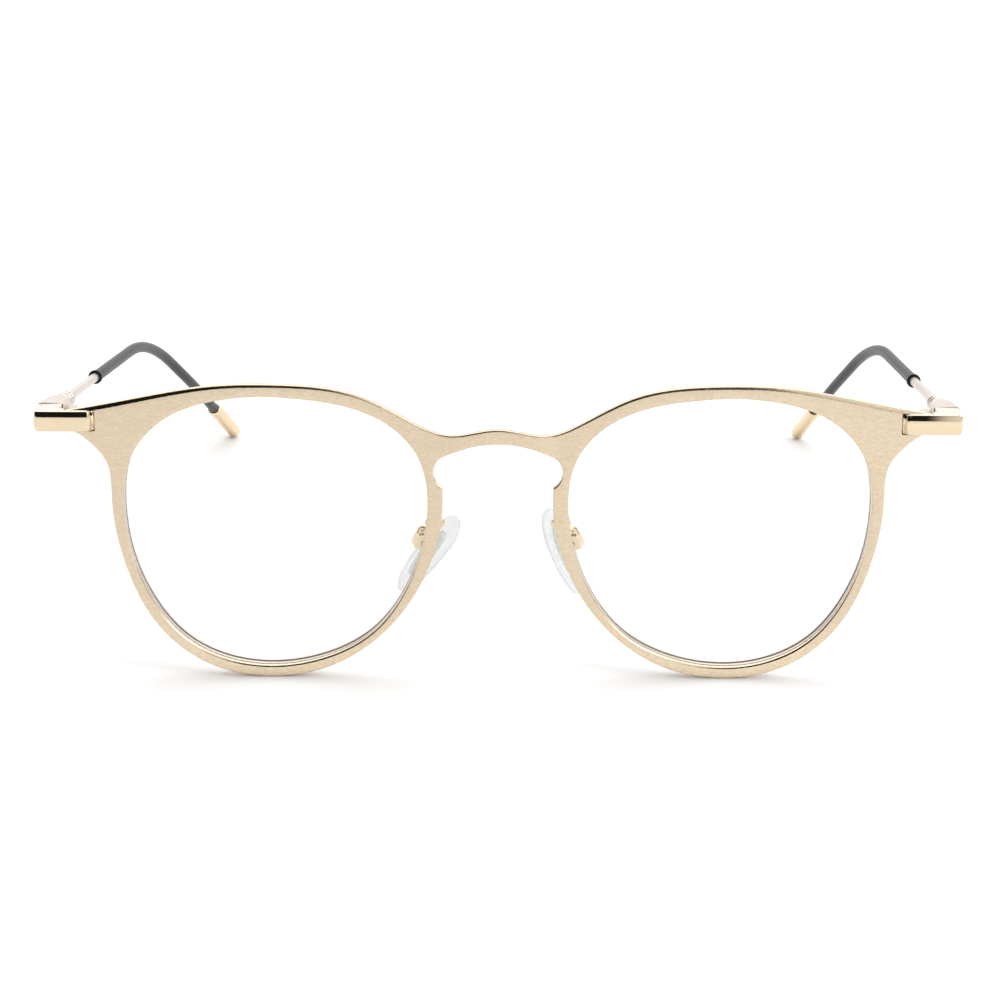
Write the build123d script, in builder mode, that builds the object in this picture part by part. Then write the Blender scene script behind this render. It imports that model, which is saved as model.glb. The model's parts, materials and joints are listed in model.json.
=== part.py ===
from build123d import *
from math import cos, radians, sin
import os

# Metal eyeglasses frame, millimetres.
# +X is the side on the right when the frame is seen from in front, +Y runs from the front
# back along the temples, +Z is up.  The frame stands on its two rims and its two temple
# tips at Z = 0, and the origin is the middle of its footprint.
# The right-hand pieces are built, and the left-hand ones are their mirror images.

# ---- front plate and eye shape -------------------------------------------------------
overall_width = 142.0
lens_center_x = 34.3          # half of the distance between the two lens centres
plate_thickness = 1.0
eye_bevel = 0.2               # bright cut edge round the two openings
eyewire_thickness = 1.05      # radial
eyewire_depth = 1.8           # behind the plate
groove_width = 0.7
groove_depth = 0.5
lens_radius = 180.0           # curve of the front of the lens
lens_thickness = 1.2
rim_slit = 0.2                # where each eyewire opens to take its lens

# ---- end pieces and hinges -----------------------------------------------------------
end_piece_height = 3.3
end_piece_top = 43.85
end_piece_proud = 0.8         # how far it stands in front of the plate
end_piece_return = 3.45       # how far it reaches behind the plate's front face
end_piece_inner_x = 61.7
end_piece_leg = 4.0           # thickness of the leg that turns back to the hinge
seam_gap = 0.1                # between end piece and temple when open
hinge_x = 66.0
hinge_y = 3.4                 # behind the plate's front face
hinge_bottom = 40.25
hinge_height = 2.4            # ends below the top of the end piece
knuckle_radius = 1.0
knuckle_gap = 0.05
hinge_pin_radius = 0.6
running_clearance = 0.05

# ---- temples -------------------------------------------------------------------------
rod_x = 69.6
rod_radius = 0.73
sleeve_radius = 0.93
sleeve_lip_radius = 1.15
tip_radius = 1.3
tip_length = 15.5
tip_socket = 9.0
temple_slope = 6.8            # degrees down towards the rear
ear_drop = 26.4               # further drop behind the ear
ear_inward = 8.3              # and turn towards the head
tip_drop = 2.0
front_run = 74.8              # hinge to ear bend
ear_run = 28.6                # ear bend to the gentle bend before the tip
ear_bend_radius = 59.0
tip_bend_radius = 120.0
block_length = 9.0
ring_pitch = 1.45
ring_count = 3
ring_radius = 1.4
ring_groove_radius = 1.1
sleeve_start = 33.0           # from the hinge seam
temple_fold = (1.3, 4.3)      # degrees the right and left temples stand folded in at rest

# ---- nose pads -----------------------------------------------------------------------
pad_center = Vector(10.3, 8.3, 18.2)
pad_length = 15.0
pad_width = 7.2
pad_thickness = 2.1
pad_tilt = 22.0               # lean of the pads' long axis, tops together
pad_rock = (0.0, 18.0)        # further lean of the right and left pads at rest
pad_splay = 19.0              # turn of the bearing face towards the rear
pad_pin_up = 1.2              # pin above the pad's middle
pad_pin_depth = 2.2           # pin behind the pad's middle plane
pad_pin_radius = 0.45
pad_tab_thickness = 1.2
pad_box_wall = 0.35
pad_box_base = 0.6
pad_box_height = 2.3
pad_arm_radius = 0.5

end_piece_mid = end_piece_top - end_piece_height / 2
end_piece_bottom = end_piece_top - end_piece_height
half_width = overall_width / 2
leg_inner_x = half_width - end_piece_leg


def heading(down, inward):
    """Unit vector that points rearwards, dropped and turned in by the given degrees."""
    down, inward = radians(down), radians(inward)
    return Vector(-sin(inward) * cos(down), cos(inward) * cos(down), -sin(down))


# The temple's centre line: three straight runs, the last one as long as it takes for the
# tip to rest on the surface that the frame stands on.
run_heading = heading(temple_slope, 0)
ear_heading = heading(temple_slope + ear_drop, ear_inward)
tip_heading = heading(temple_slope + ear_drop + tip_drop, ear_inward)
hinge_end = Vector(rod_x, end_piece_return + seam_gap, end_piece_mid)
ear_corner = hinge_end + run_heading * front_run
tip_corner = ear_corner + ear_heading * ear_run
tip_run = (tip_corner.Z - tip_radius) / -tip_heading.Z
tip_end = tip_corner + tip_heading * tip_run

# The origin is half way between the end pieces' faces and the rear of the tips.
front_y = -(tip_end.Y + tip_radius - end_piece_proud) / 2


def behind(depth):
    """Plane parallel to the front, this far behind the plate's front face."""
    return Plane((0, front_y + depth, 0), x_dir=(1, 0, 0), z_dir=(0, -1, 0))


def shifted(point):
    """A point measured from the plate's front face, in the part's own frame."""
    return Vector(point.X, point.Y + front_y, point.Z)


def save(part, name):
    part.label = name
    export_step(part, f"parts/{name}.step")


def save_pair(part, name, axis=Axis.Z, turns=(0, 0)):
    """Write the right-hand piece, and the left-hand one as a mirror image of the same piece.

    Each is first turned about the right-hand axis, by its own angle at rest."""
    save(part.rotate(axis, turns[0]), f"{name}_right")
    with BuildPart() as left:
        mirror(part.rotate(axis, turns[1]), about=Plane.YZ)
    save(left.part, f"{name}_left")


os.makedirs("parts", exist_ok=True)

# ---- eye shape -----------------------------------------------------------------------
# A round panto shape: flatter along the brow, widest above its middle.
eye_curve = Spline(
    (34.3, 46.0), (26.6, 45.2), (18.5, 42.6), (12.5, 36.8), (10.9, 28.3), (12.2, 20.2),
    (15.2, 13.1), (20.1, 7.1), (26.8, 3.4), (34.3, 1.9), (42.1, 2.8), (49.0, 6.5),
    (53.8, 12.7), (56.7, 20.1), (57.7, 28.1), (56.2, 36.7), (50.3, 42.9), (42.3, 45.5),
    periodic=True,
)
eye_samples = 36


def eye(grow, start, end, flare=0):
    """Solid of the eye shape, grown all round, between two depths behind the front.

    With a flare, its front end is grown by that much more."""

    def outline(extra):
        moved = []
        for step in range(eye_samples):
            spot = eye_curve.position_at(step / eye_samples)
            along = eye_curve.tangent_at(step / eye_samples)
            moved.append(spot + Vector(-along.Y, along.X) * -(grow + extra))
        return Spline(*moved, periodic=True)

    with BuildPart(mode=Mode.PRIVATE) as block:
        for depth, extra in ((end, 0), (start, flare)):
            with BuildSketch(behind(depth)):
                with BuildLine():
                    add(outline(extra))
                make_face()
        loft(ruled=True)
    return block.part


# ---- front plate ---------------------------------------------------------------------
with BuildPart() as eye_opening:
    add(eye(0, 0, plate_thickness))
    add(eye(0, 0, eye_bevel, flare=eye_bevel))

with BuildPart() as front_plate:
    with BuildSketch(behind(0)):
        with BuildLine():
            brow = Spline((0, 41.1), (8.4, 40.1), (12.6, 41.8), (21.2, 46.2), (34.5, 48.0),
                          (43.1, 47.8), (53.2, 46.2), (66.4, 43.7),
                          tangents=((1, 0), (1, -0.16)), tangent_scalars=(1, 1))
            wing_end = Line(brow @ 1, (66.4, 40.6))
            wing = Spline(wing_end @ 1, (63.2, 39.2), (61.0, 36.9), (59.6, 29.4),
                          tangents=((-1, 0), (0, -1)))
            rim = Spline(wing @ 1, (58.2, 19.8), (53.0, 8.3), (46.2, 2.5), (36.0, 0),
                         (26.2, 1.8), (16.4, 9.0), (10.2, 19.8), (8.55, 28.5),
                         tangents=((0, -1), (0, 1)), tangent_scalars=(1, 1))
            nose = Line(rim @ 1, (8.55, 31.6))
            notch = ThreePointArc(nose @ 1, (9.95, 34.1), (8.4, 36.55))
            arch = Spline(notch @ 1, (0, 38.75), tangents=(notch % 1, (-1, 0)))
            Line(arch @ 1, brow @ 0)
        make_face()
        mirror(about=Plane.YZ)
    extrude(amount=-plate_thickness)
    add(eye_opening.part, mode=Mode.SUBTRACT)
    mirror(eye_opening.part, about=Plane.YZ, mode=Mode.SUBTRACT)
save(front_plate.part, "front_plate")

# ---- eyewires: grooved wires brazed behind the plate, closed by their rim locks -------
wire_end = plate_thickness + eyewire_depth
groove_start = plate_thickness + (eyewire_depth - groove_width) / 2
groove_end = groove_start + groove_width
lock_x = 59.3
lock_split_z = 39.7
lock_size = (3.4, eyewire_depth - 0.1, 3.8)
lock_mid_depth = plate_thickness + lock_size[1] / 2

with BuildPart() as eyewire:
    add(eye(eyewire_thickness, plate_thickness, wire_end))
    add(eye(0, plate_thickness, wire_end), mode=Mode.SUBTRACT)
    add(eye(groove_depth, groove_start, groove_end), mode=Mode.SUBTRACT)
    with Locations((lock_x - 3, front_y + lock_mid_depth, lock_split_z)):
        Box(6, 4, rim_slit, mode=Mode.SUBTRACT)
save_pair(eyewire.part, "eyewire")

# ---- rim locks: two small blocks on the eyewire's ends, drawn together by a screw -----
rim_screw_radius = 0.6
lock_place = Location((lock_x, front_y + lock_mid_depth, lock_split_z))

with BuildPart() as rim_lock:
    with Locations(lock_place):
        Box(*lock_size)
        Box(lock_size[0], lock_size[1], rim_slit, mode=Mode.SUBTRACT)
        Cylinder(rim_screw_radius, 2 * lock_size[2], mode=Mode.SUBTRACT)
    fillet(rim_lock.edges().filter_by(Axis.Z).sort_by(Axis.X)[-4:], 0.4)
    add(eye(eyewire_thickness, 0, wire_end + 1), mode=Mode.SUBTRACT)
lock_lower, lock_upper = rim_lock.solids().sort_by(Axis.Z)
save_pair(lock_lower, "rim_lock_lower")
save_pair(lock_upper, "rim_lock_upper")


def slotted_screw(radius, length, head_radius, head_height):
    """Small screw along +Z: its shank ends at the origin, and its slotted head is above."""
    with BuildPart(mode=Mode.PRIVATE) as screw:
        with BuildSketch(Plane.XZ):
            with BuildLine():
                Polyline((0, 0), (radius * 0.7, 0), (radius, radius * 0.3), (radius, length),
                         (head_radius, length), (head_radius, length + head_height * 0.5))
                ThreePointArc((head_radius, length + head_height * 0.5),
                              (head_radius * 0.6, length + head_height * 0.9),
                              (0, length + head_height))
                Line((0, length + head_height), (0, 0))
            make_face()
        revolve(axis=Axis.Z)
        with Locations((0, 0, length + head_height)):
            Box(2.5 * head_radius, head_radius * 0.28, head_height, mode=Mode.SUBTRACT)
    return screw.part


with BuildPart() as rim_screw:
    add(slotted_screw(rim_screw_radius, lock_size[2] + 0.1, 0.8, 0.5))
screw_foot = lock_split_z - lock_size[2] / 2 - 0.1
save_pair(rim_screw.part.moved(Location((lock_x, front_y + lock_mid_depth, screw_foot))), "rim_screw")

# ---- lenses: thin curved lenses with a tongue in the eyewire's groove ------------------
lens_gap = 0.06
lens_middle = Vector(lens_center_x, 0, 24.0)

with BuildPart() as lens:
    with Locations((lens_middle.X, front_y + lens_radius, lens_middle.Z)):
        Sphere(lens_radius)
        Sphere(lens_radius - lens_thickness, mode=Mode.SUBTRACT)
    add(eye(-lens_gap, -1, 6), mode=Mode.INTERSECT)
    add(eye(groove_depth - lens_gap, groove_start + lens_gap, groove_end - lens_gap))
    with Locations((lens_middle.X, front_y + lens_radius, lens_middle.Z)):
        Sphere(lens_radius - lens_thickness, mode=Mode.SUBTRACT)
save_pair(lens.part, "lens")

# ---- end pieces: polished caps that turn back to the hinges ----------------------------
plate_end_x = 66.4
corner_radius = 0.6
end_front = -end_piece_proud

with BuildPart() as end_piece:
    with BuildSketch(Plane((0, front_y, end_piece_bottom))):
        with BuildLine():
            face_line = Polyline((plate_end_x, 0), (end_piece_inner_x, 0),
                                 (end_piece_inner_x + 0.6, end_front),
                                 (half_width - corner_radius, end_front))
            corner = JernArc(face_line @ 1, (1, 0), corner_radius, 90)
            Polyline(corner @ 1, (half_width, end_piece_return),
                     (leg_inner_x, end_piece_return), (leg_inner_x, plate_thickness),
                     (plate_end_x, plate_thickness), (plate_end_x, 0))
        make_face()
    extrude(amount=end_piece_height)
    rims = end_piece.faces().filter_by(Axis.Z)
    fillet(rims.edges().group_by(Axis.Y)[0] + rims.edges().filter_by(GeomType.CIRCLE), 0.3)
save_pair(end_piece.part, "end_piece")

# ---- hinges: three-knuckle barrels behind the end pieces -------------------------------
knuckle_height = hinge_height / 3
middle_bottom = hinge_bottom + knuckle_height
hinge_point = Vector(hinge_x, front_y + hinge_y, 0)
fold = {"axis": Axis(hinge_point, (0, 0, 1)), "turns": temple_fold}

with BuildPart() as front_hinge:
    with BuildSketch(Plane((0, front_y, hinge_bottom))):
        with Locations((hinge_x, hinge_y)):
            Circle(knuckle_radius)
            Rectangle(2 * knuckle_radius, hinge_y - plate_thickness, align=(Align.CENTER, Align.MAX))
        with Locations((hinge_x, hinge_y)):
            Circle(hinge_pin_radius, mode=Mode.SUBTRACT)
    extrude(amount=hinge_height)
    with BuildSketch(Plane((0, front_y, middle_bottom))):
        with Locations((hinge_x, hinge_y + knuckle_radius)):
            Rectangle(4 * knuckle_radius, 2.2 * knuckle_radius, align=(Align.CENTER, Align.MAX))
    extrude(amount=knuckle_height, mode=Mode.SUBTRACT)
save_pair(front_hinge.part, "front_hinge")

leaf_start = hinge_y + knuckle_radius + 0.2
leaf_end = 8.4
leaf_inner_x = 65.85
leaf_drop = 0.5

with BuildPart() as temple_hinge:
    with BuildSketch(Plane((0, front_y, middle_bottom + knuckle_gap))):
        with Locations((hinge_x, hinge_y)):
            Circle(knuckle_radius)
            Rectangle(knuckle_radius, leaf_start - hinge_y + 0.5, align=(Align.MIN, Align.MIN))
            Circle(hinge_pin_radius + running_clearance, mode=Mode.SUBTRACT)
    extrude(amount=knuckle_height - 2 * knuckle_gap)
    with BuildSketch(Plane.YZ.offset(leaf_inner_x)):
        with BuildLine():
            Polyline((front_y + leaf_start, hinge_bottom),
                     (front_y + leaf_start, hinge_bottom + hinge_height),
                     (front_y + leaf_end, hinge_bottom + hinge_height - leaf_drop),
                     (front_y + leaf_end, hinge_bottom - leaf_drop), close=True)
        make_face()
    extrude(amount=leg_inner_x - leaf_inner_x)
save_pair(temple_hinge.part, "temple_hinge", **fold)

with BuildPart() as hinge_screw:
    add(slotted_screw(hinge_pin_radius, hinge_height, 0.95, 0.35))
save_pair(hinge_screw.part.moved(Location(hinge_point + Vector(0, 0, hinge_bottom))), "hinge_screw")

# ---- temples: a square block, three rings and a slim rod -------------------------------
def along_run(distance):
    """Plane square to the temple's straight run, this far behind the hinge seam."""
    return Plane(shifted(hinge_end + run_heading * distance), x_dir=(1, 0, 0), z_dir=run_heading)


core_end = tip_end - tip_heading * (tip_length - tip_radius - tip_socket)
tip_start = tip_end - tip_heading * (tip_length - tip_radius)


def temple_path(first, last):
    """The temple's centre line between a point of its straight run and one near its tip."""
    corners = [shifted(spot) for spot in (first, ear_corner, tip_corner, last)]
    return FilletPolyline(*corners, radius=[ear_bend_radius, tip_bend_radius])


# The block narrows to a round neck: section plane, width, height, edge radius, offset in X.
block_center = (half_width + leg_inner_x) / 2 - rod_x
block_sections = [
    (Plane(shifted(hinge_end), x_dir=(1, 0, 0), z_dir=(0, 1, 0)),
     end_piece_leg, end_piece_height, 0.3, block_center),
    (along_run(block_length - 3.5), end_piece_leg - 0.5, end_piece_height - 0.1, 0.4, block_center + 0.1),
    (along_run(block_length), 2 * ring_radius, 2 * ring_radius, ring_radius - 0.01, 0),
]
rings_end = block_length + ring_count * ring_pitch

with BuildPart() as temple:
    for near, far in zip(block_sections, block_sections[1:]):
        for section, width, height, edge, offset_x in (near, far):
            with BuildSketch(section):
                with Locations((offset_x, 0)):
                    RectangleRounded(width, height, edge)
        loft()
    with BuildSketch(Plane(shifted(hinge_end), x_dir=run_heading, z_dir=run_heading.cross(Vector(1, 0, 0)))):
        with Locations((block_length, 0)):
            Rectangle(ring_count * ring_pitch, ring_groove_radius, align=(Align.MIN, Align.MIN))
        for ring in range(ring_count):
            with Locations((block_length + ring_pitch * (ring + 0.6), ring_radius - 0.5)):
                Circle(0.5)
    revolve(axis=Axis(shifted(hinge_end), run_heading))
    with BuildLine():
        rod_line = temple_path(hinge_end + run_heading * rings_end, core_end)
    with BuildSketch(Plane(rod_line @ 0, z_dir=rod_line % 0)):
        Circle(rod_radius)
    sweep(path=rod_line)
save_pair(temple.part, "temple", **fold)

with BuildPart() as temple_sleeve:
    with BuildLine():
        sleeve_line = temple_path(hinge_end + run_heading * sleeve_start, tip_start)
    with BuildSketch(Plane(sleeve_line @ 0, z_dir=sleeve_line % 0)):
        Circle(sleeve_radius)
        Circle(rod_radius, mode=Mode.SUBTRACT)
    sweep(path=sleeve_line)
    with BuildSketch(along_run(sleeve_start)):
        Circle(sleeve_lip_radius)
        Circle(rod_radius, mode=Mode.SUBTRACT)
    extrude(amount=0.5)
save_pair(temple_sleeve.part, "temple_sleeve", **fold)

with BuildPart() as temple_tip:
    with BuildSketch(Plane(shifted(tip_start), z_dir=tip_heading)):
        Circle(tip_radius)
    extrude(amount=tip_length - tip_radius)
    fillet(temple_tip.edges().sort_by(Axis.Z)[-1], 0.35)
    with Locations(shifted(tip_end)):
        Sphere(tip_radius)
    with BuildSketch(Plane(shifted(tip_start), z_dir=tip_heading)):
        Circle(rod_radius)
    extrude(amount=tip_socket, mode=Mode.SUBTRACT)
save_pair(temple_tip.part, "temple_tip", **fold)

# ---- nose pads: each rocks on a pin across the box at the end of its arm ----------------
lean, splay = radians(pad_tilt), radians(pad_splay)
pad_up = Vector(-sin(lean), 0, cos(lean))
pad_normal = Vector(-cos(splay) * cos(lean), sin(splay), -cos(splay) * sin(lean))
pad_plane = Plane(shifted(pad_center), x_dir=pad_up, z_dir=pad_normal)
pin_plane = Plane(pad_plane.from_local_coords((pad_pin_up, 0, -pad_pin_depth)),
                  x_dir=pad_up, z_dir=pad_plane.y_dir)
rock = {"axis": Axis(pin_plane.origin, -pin_plane.z_dir), "turns": pad_rock}
insert_half = 0.6
tab_radius = 0.8

with BuildPart() as pad_insert:
    with BuildSketch(pad_plane):
        Ellipse(4.4, 1.7)
    extrude(amount=-insert_half)
    with BuildSketch(pin_plane.offset(-pad_tab_thickness / 2)):
        Circle(tab_radius)
        Rectangle(2 * tab_radius, pad_pin_depth - 0.3, align=(Align.CENTER, Align.MAX))
        Circle(pad_pin_radius + running_clearance, mode=Mode.SUBTRACT)
    extrude(amount=pad_tab_thickness)
save_pair(pad_insert.part, "pad_insert", **rock)

with BuildPart() as nose_pad:
    with BuildSketch(pad_plane.offset(-pad_thickness / 2)):
        Ellipse(pad_length / 2, pad_width / 2)
    extrude(amount=pad_thickness)
    fillet(nose_pad.edges().filter_by(GeomType.ELLIPSE), 0.8)
    add(pad_insert.part, mode=Mode.SUBTRACT)
save_pair(nose_pad.part, "nose_pad", **rock)

wall_inner = pad_tab_thickness / 2 + running_clearance
box_half = wall_inner + pad_box_wall
base_inner = tab_radius + 0.1
box_reach = 0.65

with BuildPart() as pad_box:
    with BuildSketch(pin_plane.offset(-box_half)):
        with Locations((0, (base_inner + pad_box_base - box_reach) / 2)):
            RectangleRounded(pad_box_height, base_inner + pad_box_base + box_reach, 0.3)
    extrude(amount=2 * box_half)
    with BuildSketch(pin_plane.offset(-wall_inner)):
        with Locations((0, base_inner)):
            Rectangle(2 * pad_box_height, 4, align=(Align.CENTER, Align.MAX))
    extrude(amount=2 * wall_inner, mode=Mode.SUBTRACT)
    with BuildSketch(pin_plane.offset(-box_half)):
        Circle(pad_pin_radius)
    extrude(amount=2 * box_half, mode=Mode.SUBTRACT)
save_pair(pad_box.part, "pad_box")

with BuildPart() as pad_screw:
    add(slotted_screw(pad_pin_radius, 2 * box_half, 0.7, 0.3))
screw_seat = Plane(pin_plane.origin + pin_plane.z_dir * box_half, x_dir=pad_up,
                   z_dir=-pin_plane.z_dir)
save_pair(pad_screw.part.moved(screw_seat.location), "pad_screw")

# Each arm leaves the back of the eyewire, loops towards the nose and drops into its box.
arm_bends = [Vector(10.9, wire_end, 24.9), Vector(10.9, 4.0, 24.9), Vector(8.3, 4.6, 24.6),
             Vector(10.0, 5.7, 22.5)]
box_top = pin_plane.from_local_coords((pad_box_height / 2, base_inner + pad_box_base / 2, 0))

with BuildPart() as pad_arm:
    with BuildLine():
        arm_line = FilletPolyline(*map(shifted, arm_bends), box_top + pad_up * 1.1, box_top, radius=0.6)
    with BuildSketch(Plane(arm_line @ 0, z_dir=arm_line % 0)):
        Circle(pad_arm_radius)
    sweep(path=arm_line)
save_pair(pad_arm.part, "pad_arm")
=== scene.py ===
import json
import math

import bmesh
import bpy
import numpy as np
from mathutils import Matrix, Vector, geometry


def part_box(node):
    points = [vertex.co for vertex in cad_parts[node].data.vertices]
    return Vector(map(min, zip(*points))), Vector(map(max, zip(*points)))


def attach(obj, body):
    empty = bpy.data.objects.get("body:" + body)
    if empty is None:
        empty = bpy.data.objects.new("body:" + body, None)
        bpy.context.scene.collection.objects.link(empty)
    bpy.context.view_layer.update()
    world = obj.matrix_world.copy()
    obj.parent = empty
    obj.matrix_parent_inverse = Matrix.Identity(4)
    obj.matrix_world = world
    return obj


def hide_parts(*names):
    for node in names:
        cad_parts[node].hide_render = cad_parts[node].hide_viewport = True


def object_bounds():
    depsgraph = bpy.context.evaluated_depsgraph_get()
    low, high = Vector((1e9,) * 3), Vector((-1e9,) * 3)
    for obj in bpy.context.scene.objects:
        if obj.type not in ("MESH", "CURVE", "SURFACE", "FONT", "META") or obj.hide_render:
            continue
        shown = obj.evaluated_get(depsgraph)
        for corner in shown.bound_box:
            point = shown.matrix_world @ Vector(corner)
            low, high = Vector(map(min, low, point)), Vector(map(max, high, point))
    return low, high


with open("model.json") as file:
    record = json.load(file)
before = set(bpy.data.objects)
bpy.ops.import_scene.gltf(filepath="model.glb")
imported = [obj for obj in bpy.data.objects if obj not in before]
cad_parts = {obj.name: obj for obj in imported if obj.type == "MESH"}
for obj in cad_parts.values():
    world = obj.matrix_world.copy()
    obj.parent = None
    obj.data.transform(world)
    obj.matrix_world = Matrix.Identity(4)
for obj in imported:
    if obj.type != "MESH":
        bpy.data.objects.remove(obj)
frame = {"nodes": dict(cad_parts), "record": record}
cad_box = [list(corner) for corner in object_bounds()]
nodes = frame["nodes"]
MM = 0.001
front_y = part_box("front_plate")[0].y          # front face of the plate
SIDES = {"left": -1, "right": 1}
TEMPLE_SLOPE = 6.8                            # degrees down towards the rear
TEMPLE_FOLD = {"right": 1.3, "left": 4.3}     # degrees folded in at rest
TEMPLE_SEAM = (69.6, 3.55, 42.2)              # where the rod's line starts: x, behind the plate, z, in mm
RING_GROOVES = (9.15, 10.6, 12.05, 13.5)      # mm from the seam, where painted shade marks each groove
GROOVE_ZONE = (8.5, 14.0)                     # stretch of the rod that the painted groove shade covers, mm


# ---------------------------------------------------------------- material helpers
def tree_and_shader(mat):
    tree = mat.node_tree
    return tree, next(n for n in tree.nodes if n.type == "BSDF_PRINCIPLED")


def new_material(name):
    mat = bpy.data.materials.new(name)
    mat.use_nodes = True
    return mat, *tree_and_shader(mat)


def add_node(tree, kind, inputs=None, **settings):
    node = tree.nodes.new(kind)
    for key, value in settings.items():
        setattr(node, key, value)
    for key, value in (inputs or {}).items():
        if isinstance(value, bpy.types.NodeSocket):
            tree.links.new(value, node.inputs[key])
        else:
            node.inputs[key].default_value = value
    return node


def object_coords(tree, scale=(1, 1, 1), rotation=(0, 0, 0)):
    coords = add_node(tree, "ShaderNodeTexCoord")
    return add_node(tree, "ShaderNodeMapping",
                    {"Vector": coords.outputs["Object"], "Scale": scale, "Rotation": rotation}).outputs[0]


def noise(tree, vector, scale, detail=3.0, roughness=0.5, distortion=0.0):
    return add_node(tree, "ShaderNodeTexNoise", {
        "Vector": vector, "Scale": scale, "Detail": detail, "Roughness": roughness,
        "Distortion": distortion}).outputs["Fac"]


def ramp(tree, fac, stops):
    node = add_node(tree, "ShaderNodeValToRGB", {"Fac": fac})
    band = node.color_ramp
    while len(band.elements) < len(stops):
        band.elements.new(0.5)
    for element, (position, value) in zip(band.elements, stops):
        element.position = position
        element.color = (value, value, value, 1) if isinstance(value, (int, float)) else (*value, 1)
    return node.outputs["Color"]


def bump(tree, height, distance):
    return add_node(tree, "ShaderNodeBump", {
        "Height": height, "Strength": 1.0, "Distance": distance}).outputs["Normal"]


def span(tree, fac, low, high):
    return add_node(tree, "ShaderNodeMapRange", {
        "Value": fac, "From Min": 0.25, "From Max": 0.75, "To Min": low, "To Max": high}).outputs[0]


def metal(name, colors, rough, grain, scale, stretch, bump_size):
    """Plated metal: its tone, gloss and surface all vary with a grain at the given scale per metre."""
    mat, tree, shader = new_material(name)
    coords = object_coords(tree, stretch)
    fine = noise(tree, coords, scale, 4.0, 0.6, 0.4)
    broad = noise(tree, object_coords(tree), 60.0, 2.0)
    tone = add_node(tree, "ShaderNodeMix", {0: grain, 2: broad, 3: fine}, data_type="FLOAT").outputs[0]
    tree.links.new(ramp(tree, tone, [(0.3, colors[0]), (0.7, colors[1])]), shader.inputs["Base Color"])
    tree.links.new(span(tree, fine, rough[0], rough[1]), shader.inputs["Roughness"])
    tree.links.new(bump(tree, fine, bump_size * MM), shader.inputs["Normal"])
    shader.inputs["Metallic"].default_value = 1.0
    return mat


plate_metal = metal("plate_metal", ((0.62, 0.505, 0.365), (0.80, 0.665, 0.49)), (0.24, 0.36), 0.85,
                    4200.0, (0.35, 1.0, 1.0), 0.016)
rod_metal = metal("rod_metal", ((0.62, 0.545, 0.495), (0.76, 0.68, 0.62)), (0.26, 0.38), 0.5, 5200.0,
                  (1.0, 0.35, 1.0), 0.003)
polished_metal = metal("polished_metal", ((0.74, 0.605, 0.42), (0.80, 0.665, 0.475)), (0.04, 0.09), 0.2,
                       900.0, (1, 1, 1), 0.0006)
end_metal = metal("end_metal", ((0.74, 0.605, 0.42), (0.80, 0.665, 0.475)), (0.03, 0.07), 0.2,
                  900.0, (1, 1, 1), 0.0006)
tip_metal = metal("tip_metal", ((0.80, 0.62, 0.38), (0.88, 0.71, 0.46)), (0.16, 0.26), 0.4, 3000.0,
                  (1, 1, 1), 0.002)
screw_metal = metal("screw_metal", ((0.50, 0.48, 0.45), (0.62, 0.60, 0.56)), (0.22, 0.36), 0.6, 6000.0,
                    (1, 1, 0.3), 0.002)

sleeve_plastic, tree, shader = new_material("sleeve_plastic")
fine = noise(tree, object_coords(tree), 4200.0, 3.0)
broad = noise(tree, object_coords(tree), 90.0, 2.0)
tree.links.new(ramp(tree, broad, [(0.3, (0.009, 0.009, 0.011)), (0.7, (0.016, 0.015, 0.018))]),
               shader.inputs["Base Color"])
tree.links.new(span(tree, fine, 0.28, 0.40), shader.inputs["Roughness"])
tree.links.new(bump(tree, fine, 0.006 * MM), shader.inputs["Normal"])
shader.inputs["IOR"].default_value = 1.33


def clear_material(name, colors, alpha, rough, scale):
    """Clear plastic: faint where it is seen square on, denser towards its turned-away edges; the denser edges
    are painted shade, standing in for how the plastic reflects and bends light there.
    """
    mat, tree, shader = new_material(name)
    cloud = noise(tree, object_coords(tree), scale, 2.0)
    tree.links.new(ramp(tree, cloud, [(0.3, colors[0]), (0.7, colors[1])]), shader.inputs["Base Color"])
    tree.links.new(span(tree, cloud, rough[0], rough[1]), shader.inputs["Roughness"])
    tree.links.new(bump(tree, cloud, 0.004 * MM), shader.inputs["Normal"])
    # painted shade: opacity rises towards the turned-away edges in place of reflection and refraction
    facing = add_node(tree, "ShaderNodeLayerWeight", {"Blend": 0.35}).outputs["Facing"]
    painted_edge_density = add_node(tree, "ShaderNodeMapRange", {
        "Value": facing, "From Min": 0.0, "From Max": 1.0, "To Min": alpha[0], "To Max": alpha[1]}).outputs[0]
    tree.links.new(painted_edge_density, shader.inputs["Alpha"])
    shader.inputs["IOR"].default_value = 1.45
    return mat


lens_clear = clear_material("lens_clear", ((0.90, 0.92, 0.92), (0.95, 0.97, 0.96)), (0.015, 0.22),
                            (0.02, 0.06), 120.0)
silicone = clear_material("silicone", ((0.50, 0.56, 0.56), (0.64, 0.68, 0.68)), (0.04, 0.80),
                          (0.05, 0.16), 500.0)
pad_core = clear_material("pad_core", ((0.50, 0.55, 0.55), (0.60, 0.64, 0.64)), (0.06, 0.80),
                          (0.04, 0.10), 700.0)

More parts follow.
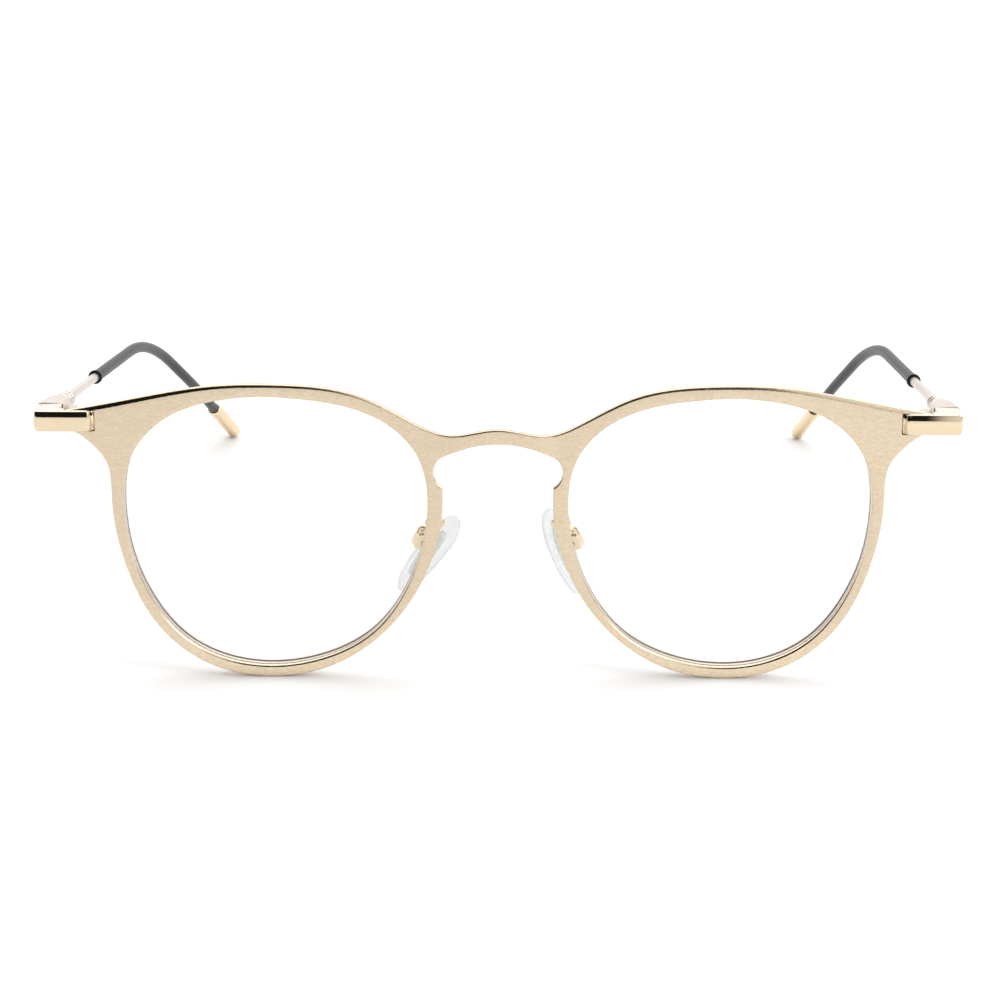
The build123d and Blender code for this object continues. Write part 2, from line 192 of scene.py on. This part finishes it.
# The end pieces are polished in front and at the sides; their top is satin, with fine specks.
tree, shader = tree_and_shader(end_metal)
normal = add_node(tree, "ShaderNodeTexCoord").outputs["Normal"]
upward = add_node(tree, "ShaderNodeSeparateXYZ", {"Vector": normal}).outputs["Z"]
on_top = add_node(tree, "ShaderNodeMapRange", {
    "Value": upward, "From Min": 0.75, "From Max": 0.92}).outputs[0]
specks = ramp(tree, noise(tree, object_coords(tree), 2600.0, 2.0),
              [(0.33, (0.08, 0.06, 0.05)), (0.38, (0.70, 0.625, 0.58))])
for socket, top_value in (("Base Color", specks), ("Roughness", 0.34)):
    link = shader.inputs[socket].links[0]
    below = link.from_socket
    if socket == "Base Color":
        mix = add_node(tree, "ShaderNodeMix", {0: on_top, 6: below, 7: top_value},
                       data_type="RGBA").outputs[2]
    else:
        mix = add_node(tree, "ShaderNodeMix", {0: on_top, 2: below, 3: top_value},
                       data_type="FLOAT").outputs[0]
    tree.links.new(mix, shader.inputs[socket])

# Painted light: the plate's colour is a little brighter low on the rims. Its rolled top edge is buffed
# brighter than its face.
tree, shader = tree_and_shader(plate_metal)
plate_height = add_node(tree, "ShaderNodeSeparateXYZ", {"Vector": object_coords(tree)}).outputs["Z"]
# painted light: the base colour is scaled up low on the rims
painted_light_low_rims = add_node(tree, "ShaderNodeMapRange", {
    "Value": plate_height, "From Min": 0.003, "From Max": 0.014, "To Min": 1.16, "To Max": 1.0}).outputs[0]
below = shader.inputs["Base Color"].links[0].from_socket
tree.links.new(add_node(tree, "ShaderNodeVectorMath", {0: below, 1: painted_light_low_rims}, operation="MULTIPLY").outputs[0],
               shader.inputs["Base Color"])
normal = add_node(tree, "ShaderNodeTexCoord").outputs["Normal"]
upward = add_node(tree, "ShaderNodeSeparateXYZ", {"Vector": normal}).outputs["Z"]
place = add_node(tree, "ShaderNodeSeparateXYZ", {"Vector": object_coords(tree)}).outputs["X"]
wide = add_node(tree, "ShaderNodeMath", {0: place}, operation="ABSOLUTE").outputs[0]
outer = add_node(tree, "ShaderNodeMapRange", {
    "Value": wide, "From Min": 0.020, "From Max": 0.048, "To Min": 0.35, "To Max": 1.0}).outputs[0]
rolled = add_node(tree, "ShaderNodeMapRange", {
    "Value": upward, "From Min": 0.04, "From Max": 0.16}).outputs[0]
buffed = add_node(tree, "ShaderNodeMath", {0: outer, 1: rolled}, operation="MULTIPLY").outputs[0]
below = shader.inputs["Roughness"].links[0].from_socket
tree.links.new(add_node(tree, "ShaderNodeMix", {0: buffed, 2: below, 3: 0.10}, data_type="FLOAT").outputs[0],
               shader.inputs["Roughness"])

FINISH = {
    "satin_plate": plate_metal, "satin_rod": rod_metal, "polished_gold": polished_metal,
    "tip_gold": tip_metal, "screw_steel": screw_metal, "sleeve_black": sleeve_plastic,
    "clear_lens": lens_clear, "pad_silicone": silicone, "pad_core": pad_core,
}


def ringed_metal(side):
    """The rod's metal, with the three rings behind the temple's block drawn off by painted shade in the
    grooves.
    """
    mat = rod_metal.copy()
    mat.name = f"temple_metal_{side}"
    tree, shader = tree_and_shader(mat)
    slope, turn = math.radians(TEMPLE_SLOPE), math.radians(TEMPLE_FOLD[side])
    along = Vector((-SIDES[side] * math.sin(turn) * math.cos(slope), math.cos(turn) * math.cos(slope),
                    -math.sin(slope)))
    out, behind, up = TEMPLE_SEAM
    seam = Vector((SIDES[side] * out * MM, front_y + behind * MM, up * MM))
    start, end = GROOVE_ZONE
    coords = add_node(tree, "ShaderNodeTexCoord")
    reach = add_node(tree, "ShaderNodeVectorMath", {0: coords.outputs["Object"], 1: along},
                     operation="DOT_PRODUCT").outputs["Value"]
    reach = add_node(tree, "ShaderNodeMapRange", {
        "Value": reach, "From Min": along.dot(seam) + start * MM,
        "From Max": along.dot(seam) + end * MM}).outputs[0]
    # painted shade: dark stops in the base colour where the grooves lie
    stops = [(0.0, 1.0)]
    for groove in RING_GROOVES:
        middle = (groove - start) / (end - start)
        stops += [(middle - 0.06, 1.0), (middle, 0.08), (middle + 0.06, 1.0)]
    groove_shade = ramp(tree, reach, stops)
    below = shader.inputs["Base Color"].links[0].from_socket
    tree.links.new(add_node(tree, "ShaderNodeMix", {0: 1.0, 6: below, 7: groove_shade}, data_type="RGBA",
                            blend_type="MULTIPLY").outputs[2], shader.inputs["Base Color"])
    return mat


temple_metals = {f"temple_{side}": ringed_metal(side) for side in TEMPLE_FOLD}
for part in frame["record"]["subparts"]:
    mesh = nodes[part["node"]].data
    mesh.materials.clear()
    mesh.materials.append(temple_metals.get(part["node"], FINISH[part["material_slot"]]))


# ---------------------------------------------------------------- piece helpers
def new_piece(name, bm, body, material):
    mesh = bpy.data.meshes.new(name)
    bmesh.ops.recalc_face_normals(bm, faces=bm.faces)
    bm.to_mesh(mesh)
    bm.free()
    for face in mesh.polygons:
        face.use_smooth = True
    mesh.materials.append(material)
    obj = bpy.data.objects.new(name, mesh)
    bpy.context.scene.collection.objects.link(obj)
    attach(obj, body)
    return obj


def face_loops(node, depth):
    """Closed outlines, as (x, z) points, of the node's flat faces that lie at this y and face along Y."""
    bm = bmesh.new()
    bm.from_mesh(nodes[node].data)
    bmesh.ops.remove_doubles(bm, verts=bm.verts, dist=0.001 * MM)
    flat = {f for f in bm.faces if all(abs(v.co.y - depth) < 2e-6 for v in f.verts)}
    rim = [e for e in bm.edges if sum(f in flat for f in e.link_faces) == 1]
    following = {}
    for edge in rim:
        for v in edge.verts:
            following.setdefault(v, []).append(edge.other_vert(v))
    loops, seen = [], set()
    for first in following:
        if first in seen:
            continue
        loop, previous, here = [], None, first
        while here not in seen:
            seen.add(here)
            loop.append((here.co.x, here.co.z))
            step = [v for v in following[here] if v is not previous and v not in seen]
            previous = here
            if step:
                here = step[0]
        loops.append(np.array(loop))
    bm.free()
    return loops


def area(loop):
    x, z = loop[:, 0], loop[:, 1]
    return 0.5 * float(np.sum(x * np.roll(z, -1) - np.roll(x, -1) * z))


def smooth_run(run, count):
    """Evenly spaced points on the smooth curve through a run of outline points."""
    step = np.linalg.norm(np.diff(run, axis=0), axis=1)
    along = np.concatenate([[0], np.cumsum(step)])
    slope = np.diff(run, axis=0) / step[:, None]
    tangent = np.empty_like(run)
    blend = step[:-1, None] * slope[1:] + step[1:, None] * slope[:-1]
    tangent[1:-1] = blend / (step[:-1] + step[1:])[:, None]
    tangent[0], tangent[-1] = (slope[0], slope[-1]) if len(run) == 2 else (
        2 * slope[0] - tangent[1], 2 * slope[-1] - tangent[-2])
    at = np.linspace(0, along[-1], count + 1)[:-1]
    i = np.clip(np.searchsorted(along, at, "right") - 1, 0, len(step) - 1)
    t, h = ((at - along[i]) / step[i])[:, None], step[i][:, None]
    return ((2 * t**3 - 3 * t**2 + 1) * run[i] + (t**3 - 2 * t**2 + t) * h * tangent[i]
            + (3 * t**2 - 2 * t**3) * run[i + 1] + (t**3 - t**2) * h * tangent[i + 1])


def resampled(loop, spacing):
    """The same outline, counter-clockwise, smooth and with evenly spaced points; corners stay."""
    if area(loop) < 0:
        loop = loop[::-1]
    before = loop - np.roll(loop, 1, 0)
    after = np.roll(loop, -1, 0) - loop
    before /= np.linalg.norm(before, axis=1)[:, None]
    after /= np.linalg.norm(after, axis=1)[:, None]
    corners = [i for i in range(len(loop)) if np.sum(before[i] * after[i]) < math.cos(math.radians(28))]
    if not corners:
        lead = 4
        run = np.concatenate([loop[-lead:], loop, loop[:lead + 1]])
        length = np.linalg.norm(np.diff(run, axis=0), axis=1)
        count = round(length.sum() / spacing)
        curve = smooth_run(run, count)
        start, end = length[:lead].sum(), length[:lead + len(loop)].sum()
        at = np.arange(count) * length.sum() / count
        curve = curve[(at >= start) & (at < end - spacing / 2)]
        return curve
    made = []
    for start, end in zip(corners, corners[1:] + [corners[0] + len(loop)]):
        run = loop[[i % len(loop) for i in range(start, end + 1)]]
        count = max(2, round(np.linalg.norm(np.diff(run, axis=0), axis=1).sum() / spacing))
        made.append(smooth_run(run, count))
    return np.concatenate(made)


def outward(loop):
    """Unit normals that point out of a counter-clockwise outline, averaged at each point."""
    ahead = np.roll(loop, -1, 0) - loop
    ahead /= np.linalg.norm(ahead, axis=1)[:, None]
    mean = ahead + np.roll(ahead, 1, 0)
    mean /= np.linalg.norm(mean, axis=1)[:, None]
    return np.stack([mean[:, 1], -mean[:, 0]], 1)


def inside(points, loop):
    """Which points are inside the outline."""
    hits = np.zeros(len(points), bool)
    for a, b in zip(loop, np.roll(loop, -1, 0)):
        crosses = (a[1] > points[:, 1]) != (b[1] > points[:, 1])
        with np.errstate(divide="ignore", invalid="ignore"):
            at = (b[0] - a[0]) * (points[:, 1] - a[1]) / (b[1] - a[1]) + a[0]
        hits ^= crosses & (points[:, 0] < at)
    return hits


# ---------------------------------------------------------------- front plate
# The plate's own outline with rolled edges: a wide roll along the brow towards the end pieces,
# a small one elsewhere, and a bridge that stands slightly forward between two soft creases.
PLATE_STEP = 0.3 * MM
ROLL_STEPS = 6


def brow_roll(loop, normals):
    """How far the roll reaches over the face at each point of the plate's outline."""
    x, z = np.abs(loop[:, 0]) / MM, loop[:, 1] / MM
    wide = np.interp(x, [0, 9, 20, 45, 60, 66], [0.30, 0.22, 0.42, 0.62, 0.80, 0.80])
    top = np.clip((normals[:, 1] - 0.35) / 0.35, 0, 1) * np.clip((z - 38.9) / 0.8, 0, 1)
    reach = 0.28 + (wide - 0.28) * top
    for _ in range(6):
        reach = (np.roll(reach, 1) + 2 * reach + np.roll(reach, -1)) / 4
    return reach * MM


def bridge_bow(x):
    return -np.interp(np.abs(x) / MM, [0, 3, 6.2, 8.6, 9.4], [0.62, 0.58, 0.44, 0.03, 0.0]) * MM


def build_plate():
    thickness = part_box("front_plate")[1].y - front_y
    loops = sorted(face_loops("front_plate", front_y), key=lambda loop: -abs(area(loop)))
    outer = resampled(loops[0], PLATE_STEP)
    eyes = [resampled(loop, PLATE_STEP) for loop in loops[1:3]]
    out_normals = outward(outer)
    reach = brow_roll(outer, out_normals)
    bm = bmesh.new()

    def ring(loop, depth):
        y = front_y + np.broadcast_to(depth, len(loop)) + bridge_bow(loop[:, 0])
        return [bm.verts.new((p[0], q, p[1])) for p, q in zip(loop, y)]

    def skin(rings):
        for a, b in zip(rings, rings[1:]):
            for i in range(len(a)):
                j = (i + 1) % len(a)
                bm.faces.new((a[i], a[j], b[j], b[i]))

    # outline: a broad roll at the front that turns quickly into the wall, a small roll at the back
    rings, back = [], 0.2 * MM
    knee = math.radians(54)
    broad = 0.92 * reach / math.sin(knee)
    tight = 0.08 * reach / (1 - math.sin(knee))
    for turn in [knee * k / ROLL_STEPS for k in range(ROLL_STEPS)]:
        inset = reach - broad * math.sin(turn)
        rings.append((outer - out_normals * inset[:, None], broad * (1 - math.cos(turn))))
    for turn in [knee + (math.pi / 2 - knee) * k / 3 for k in range(4)]:
        rings.append((outer - out_normals * (tight * (1 - math.sin(turn)))[:, None],
                      broad * (1 - math.cos(knee)) + tight * (math.cos(knee) - math.cos(turn))))
    for k in range(4):
        turn = math.pi / 2 * k / 3
        rings.append((outer - out_normals * back * (1 - math.cos(turn)),
                      thickness - back * (1 - math.sin(turn))))
    made = [ring(loop, depth) for loop, depth in rings]
    skin(made)
    edge_rings = {"front": [(rings[0][0], made[0])], "back": [(rings[-1][0], made[-1])]}
    # eye openings: a small roll from the flared front edge to the wall
    flare = 0.2 * MM
    for eye in eyes:
        normals = outward(eye)
        extra = np.interp(-normals[:, 1], [-0.3, 0.8], [0.03, 0.14])[:, None] * MM
        rolls = []
        for k in range(5):
            turn = math.pi / 2 * k / 4
            rolls.append((eye + normals * (extra - (flare + extra) * math.sin(turn)),
                          (flare + extra[:, 0] * 0.8) * (1 - math.cos(turn))))
        rolls.append((eye - normals * flare, np.full(len(eye), thickness)))
        rolled = [ring(loop, depth) for loop, depth in rolls]
        skin(rolled)
        edge_rings["front"].append((rolls[0][0], rolled[0]))
        edge_rings["back"].append((rolls[-1][0], rolled[-1]))
    # flat faces, with inner points so that the bow bends smoothly
    for side, depth in (("front", 0.0), ("back", thickness)):
        outlines = [loop for loop, _ in edge_rings[side]]
        low, high = outlines[0].min(0), outlines[0].max(0)
        step = 0.7 * MM
        spread = np.meshgrid(np.arange(low[0], high[0], step), np.arange(low[1], high[1], step))
        grid = np.stack(spread, -1).reshape(-1, 2)
        keep = inside(grid, outlines[0])
        for eye in outlines[1:]:
            keep &= ~inside(grid, eye)
        grid = grid[keep]
        rims = np.concatenate(outlines)
        near = np.array([np.min(np.sum((rims - p) ** 2, axis=1)) for p in grid])
        grid = grid[near > (0.35 * MM) ** 2]
        points, edges, verts = [], [], []
        for loop, ring_verts in edge_rings[side]:
            base = len(points)
            points += [Vector(p) for p in loop * 1000]
            edges += [(base + i, base + (i + 1) % len(loop)) for i in range(len(loop))]
            verts += ring_verts
        for p in grid:
            points.append(Vector(p * 1000))
            verts.append(bm.verts.new((p[0], front_y + depth + float(bridge_bow(p[0])), p[1])))
        cut = geometry.delaunay_2d_cdt(points, edges, [], 0, 1e-7)
        source = [ids[0] if ids else None for ids in cut[3]]
        centers = np.array([np.mean([cut[0][i] for i in f], axis=0) for f in cut[2]]) / 1000
        keep = inside(centers, outlines[0])
        for eye in outlines[1:]:
            keep &= ~inside(centers, eye)
        for wanted, f in zip(keep, cut[2]):
            ids = [source[i] for i in f]
            if wanted and None not in ids and len(set(ids)) == 3:
                bm.faces.new([verts[i] for i in ids])
    plate = new_piece("plate_skin", bm, "front", plate_metal)
    weighted = plate.modifiers.new("weighted", "WEIGHTED_NORMAL")
    weighted.weight = 100
    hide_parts("front_plate")


build_plate()


# ---------------------------------------------------------------- end pieces
def build_end_piece(side):
    """A cap with a softly crowned front: one plan outline, stacked from bottom to top."""
    low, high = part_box(f"end_piece_{side}")
    sign = SIDES[side]
    outer = max(abs(low.x), abs(high.x))
    inner = min(abs(low.x), abs(high.x))
    face, back = low.y, high.y
    plate_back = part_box("front_plate")[1].y
    plate_end = max(abs(v) for v in (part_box("front_plate")[0].x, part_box("front_plate")[1].x))
    leg, corner, bevel = 3.9 * MM, 0.6 * MM, 0.6 * MM
    plan = [(plate_end, front_y, 0), (inner, front_y, 0)]
    for k in range(7):
        turn = math.pi / 2 * k / 6 * 0.6
        plan.append((inner + bevel * (0.25 + math.sin(turn)),
                     front_y + (face - front_y) * (0.25 + 0.75 * k / 6), 1))
    start = plan[-1][0]
    plan += [(start + (outer - corner - start) * k / 16, face - 0.05 * MM * math.sin(math.pi * k / 16), 1)
             for k in range(1, 17)]
    for k in range(1, 11):
        turn = math.pi / 2 * k / 10
        plan.append((outer - corner * (1 - math.sin(turn)), face + corner * (1 - math.cos(turn)), 1))
    plan += [(outer, face + corner + (back - face - corner) * k / 4, 1) for k in range(1, 5)]
    plan += [(outer - leg, back, 0), (outer - leg, plate_back, 0), (plate_end, plate_back, 0)]
    points = np.array([(x, y) for x, y, _ in plan])
    weight = np.array([w for _, _, w in plan])[:, None]
    ahead = np.roll(points, -1, 0) - points
    ahead /= np.linalg.norm(ahead, axis=1)[:, None]
    normal = ahead + np.roll(ahead, 1, 0)
    normal /= np.linalg.norm(normal, axis=1)[:, None]
    normal = np.stack([normal[:, 1], -normal[:, 0]], 1)
    height, roll, crown = high.z - low.z, 0.22 * MM, 0.27 * MM
    rolls = [roll * (1 - math.cos(math.pi / 2 * k / 5)) for k in range(6)]
    levels = rolls + list(np.linspace(roll, height - roll, 15))[1:-1] + [height - v for v in reversed(rolls)]
    bm = bmesh.new()
    rows = []
    for level in levels:
        near = min(level, height - level)
        inset = roll - math.sqrt(max(0.0, roll**2 - (roll - near)**2)) if near < roll else 0.0
        inset += crown * (2 * level / height - 1)**2
        spots = points - normal * weight * inset
        rows.append([bm.verts.new((sign * x, y, low.z + level)) for x, y in spots])
    for a, b in zip(rows, rows[1:]):
        for i in range(len(a)):
            j = (i + 1) % len(a)
            bm.faces.new((a[i], a[j], b[j], b[i]))
    bm.faces.new(rows[0][::-1])
    bm.faces.new(rows[-1])
    cap = new_piece(f"end_cap_{side}", bm, "front", end_metal)
    weighted = cap.modifiers.new("weighted", "WEIGHTED_NORMAL")
    weighted.weight = 100
    weighted.keep_sharp = True
    for edge in cap.data.edges:
        a, b = (cap.data.vertices[i].co for i in edge.vertices)
        on_leg = max(abs(abs(v.x) - (outer - leg)) for v in (a, b)) < 1e-5
        on_back = max(abs(v.y - back) for v in (a, b)) < 1e-5
        if on_leg or on_back:
            edge.use_edge_sharp = True
    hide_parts(f"end_piece_{side}")


for side in SIDES:
    build_end_piece(side)


# ---------------------------------------------------------------- nose pads
def pad_axes(node):
    """Middle and long, cross and thin directions of a pad, from the spread of its points."""
    points = np.array([v.co for v in nodes[node].data.vertices])
    middle = (points.min(0) + points.max(0)) / 2
    _, vectors = np.linalg.eigh(np.cov((points - points.mean(0)).T))
    thin, cross, long = vectors[:, 0], vectors[:, 1], vectors[:, 2]
    long = long if long[2] > 0 else -long
    thin = thin if thin[0] * middle[0] < 0 else -thin
    cross = np.cross(thin, long)
    size = [float(np.ptp(points @ axis)) for axis in (long, cross, thin)]
    center = sum(axis * (np.min(points @ axis) + np.max(points @ axis)) / 2 for axis in (long, cross, thin))
    return center, long, cross, thin, size


def build_pad(side):
    center, long, cross, thin, (length, width, thick) = pad_axes(f"nose_pad_{side}")
    bm = bmesh.new()
    around, rings = 64, 14
    made = []
    for k in range(rings + 1):
        polar = math.pi * k / rings
        ring_size, lift = abs(math.sin(polar)) ** 0.42, math.cos(polar)
        row = []
        for i in range(around):
            turn = 2 * math.pi * i / around
            u, v = math.sin(turn), math.cos(turn)
            outline = (abs(u) ** 2.3 + abs(v) ** 2.3) ** (-1 / 2.3)
            u, v = u * outline * ring_size, v * outline * ring_size * (1 + 0.12 * u)
            rise = lift * thick * (0.5 if lift < 0 else 0.5 + 0.06 * (1 - ring_size))
            rise -= 0.10 * thick * (1 - ring_size) * (lift < 0)
            spot = center + long * u * length / 2 + cross * v * width / 2 + thin * rise
            row.append(spot)
        made.append(row)
    top = bm.verts.new(np.mean(made[0], axis=0))
    bottom = bm.verts.new(np.mean(made[-1], axis=0))
    verts = [[bm.verts.new(p) for p in row] for row in made[1:-1]]
    for a, b in zip(verts, verts[1:]):
        for i in range(around):
            j = (i + 1) % around
            bm.faces.new((a[i], a[j], b[j], b[i]))
    for i in range(around):
        j = (i + 1) % around
        bm.faces.new((top, verts[0][j], verts[0][i]))
        bm.faces.new((bottom, verts[-1][i], verts[-1][j]))
    pad = new_piece(f"pad_skin_{side}", bm, f"pad_{side}", silicone)
    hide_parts(f"nose_pad_{side}")


for side in SIDES:
    build_pad(side)


# ---------------------------------------------------------------- floor, light and camera
floor_mesh = bpy.data.meshes.new("floor")
reach = 3.0
floor_mesh.from_pydata([(-reach, -reach, 0), (reach, -reach, 0), (reach, reach, 0), (-reach, reach, 0)],
                       [], [(0, 1, 2, 3)])
floor = bpy.data.objects.new("floor", floor_mesh)
floor.location.z = min(cad_box[0][2], 0.0) - 0.00002
bpy.context.scene.collection.objects.link(floor)
floor_white, tree, shader = new_material("floor_white")
paper = noise(tree, object_coords(tree), 30.0, 2.0)
tree.links.new(ramp(tree, paper, [(0.3, 0.93), (0.7, 0.95)]), shader.inputs["Base Color"])
shader.inputs["Roughness"].default_value = 0.9
shader.inputs["Specular IOR Level"].default_value = 0.0
floor_mesh.materials.append(floor_white)

world = bpy.data.worlds.new("studio")
world.use_nodes = True
bpy.context.scene.world = world
tree = world.node_tree
background = next(n for n in tree.nodes if n.type == "BACKGROUND")
coords = add_node(tree, "ShaderNodeTexCoord")
parts = add_node(tree, "ShaderNodeSeparateXYZ", {"Vector": coords.outputs["Generated"]})


def step_range(value, low, high, to_low=0.0, to_high=1.0):
    return add_node(tree, "ShaderNodeMapRange", {
        "Value": value, "From Min": low, "From Max": high, "To Min": to_low, "To Max": to_high},
        interpolation_type="SMOOTHSTEP").outputs[0]


def times(a, b):
    return add_node(tree, "ShaderNodeMath", {0: a, 1: b}, operation="MULTIPLY").outputs[0]


# A white room with an unlit wall in front, reaching further round on the left.
overhead = step_range(parts.outputs["Z"], 0.90, 0.97)
rear = times(step_range(parts.outputs["Y"], -0.02, 0.25),
             step_range(parts.outputs["Z"], 0.15, 0.5, 0.72, 1.0))
right = times(step_range(parts.outputs["X"], 0.14, 0.21),
              step_range(parts.outputs["X"], 0.97, 0.90, 0.0, 0.65))
lit = add_node(tree, "ShaderNodeMath", {0: overhead, 1: rear}, operation="MAXIMUM").outputs[0]
lit = add_node(tree, "ShaderNodeMath", {0: lit, 1: right}, operation="MAXIMUM").outputs[0]
glow = add_node(tree, "ShaderNodeMapRange", {"Value": lit, "To Min": 0.012, "To Max": 1.45}).outputs[0]
tint = add_node(tree, "ShaderNodeCombineXYZ", {0: glow, 1: glow, 2: glow}).outputs[0]
tree.links.new(tint, background.inputs["Color"])
background.inputs["Strength"].default_value = 1.0


def softbox(name, place, aim, size, power):
    light = bpy.data.lights.new(name, "AREA")
    light.shape, light.size, light.size_y, light.energy = "RECTANGLE", size[0], size[1], power
    obj = bpy.data.objects.new(name, light)
    obj.location = place
    obj.rotation_euler = (Vector(aim) - Vector(place)).to_track_quat("-Z", "Y").to_euler()
    bpy.context.scene.collection.objects.link(obj)


softbox("top_box", (0.0, 0.9, 1.3), (0, 0.3, 0), (2.2, 2.2), 9.0)
softbox("right_box", (0.55, -0.35, 0.45), (0.1, -0.05, 0.0), (0.4, 0.4), 1.8)

camera_data = bpy.data.cameras.new("camera")
camera = bpy.data.objects.new("camera", camera_data)
bpy.context.scene.collection.objects.link(camera)
bpy.context.scene.camera = camera
distance, eye_height, pitch, roll, yaw = 0.390, 0.16483, 19.115, 0.198, -0.185
focal_px, center_x = 2675.3, 497.83
camera_data.sensor_width = 36.0
camera_data.lens = 36.0 * focal_px / 1000
camera_data.shift_x = (500 - center_x) / 1000
camera_data.clip_start, camera_data.clip_end = 0.02, 20
turn = (Matrix.Rotation(math.radians(-yaw), 4, "Z") @ Matrix.Translation((0, -distance, eye_height))
        @ Matrix.Rotation(math.radians(90 - pitch), 4, "X") @ Matrix.Rotation(math.radians(roll), 4, "Z"))
camera.matrix_world = Matrix.Translation((0, front_y, 0)) @ turn

bpy.context.scene.view_settings.view_transform = "Standard"
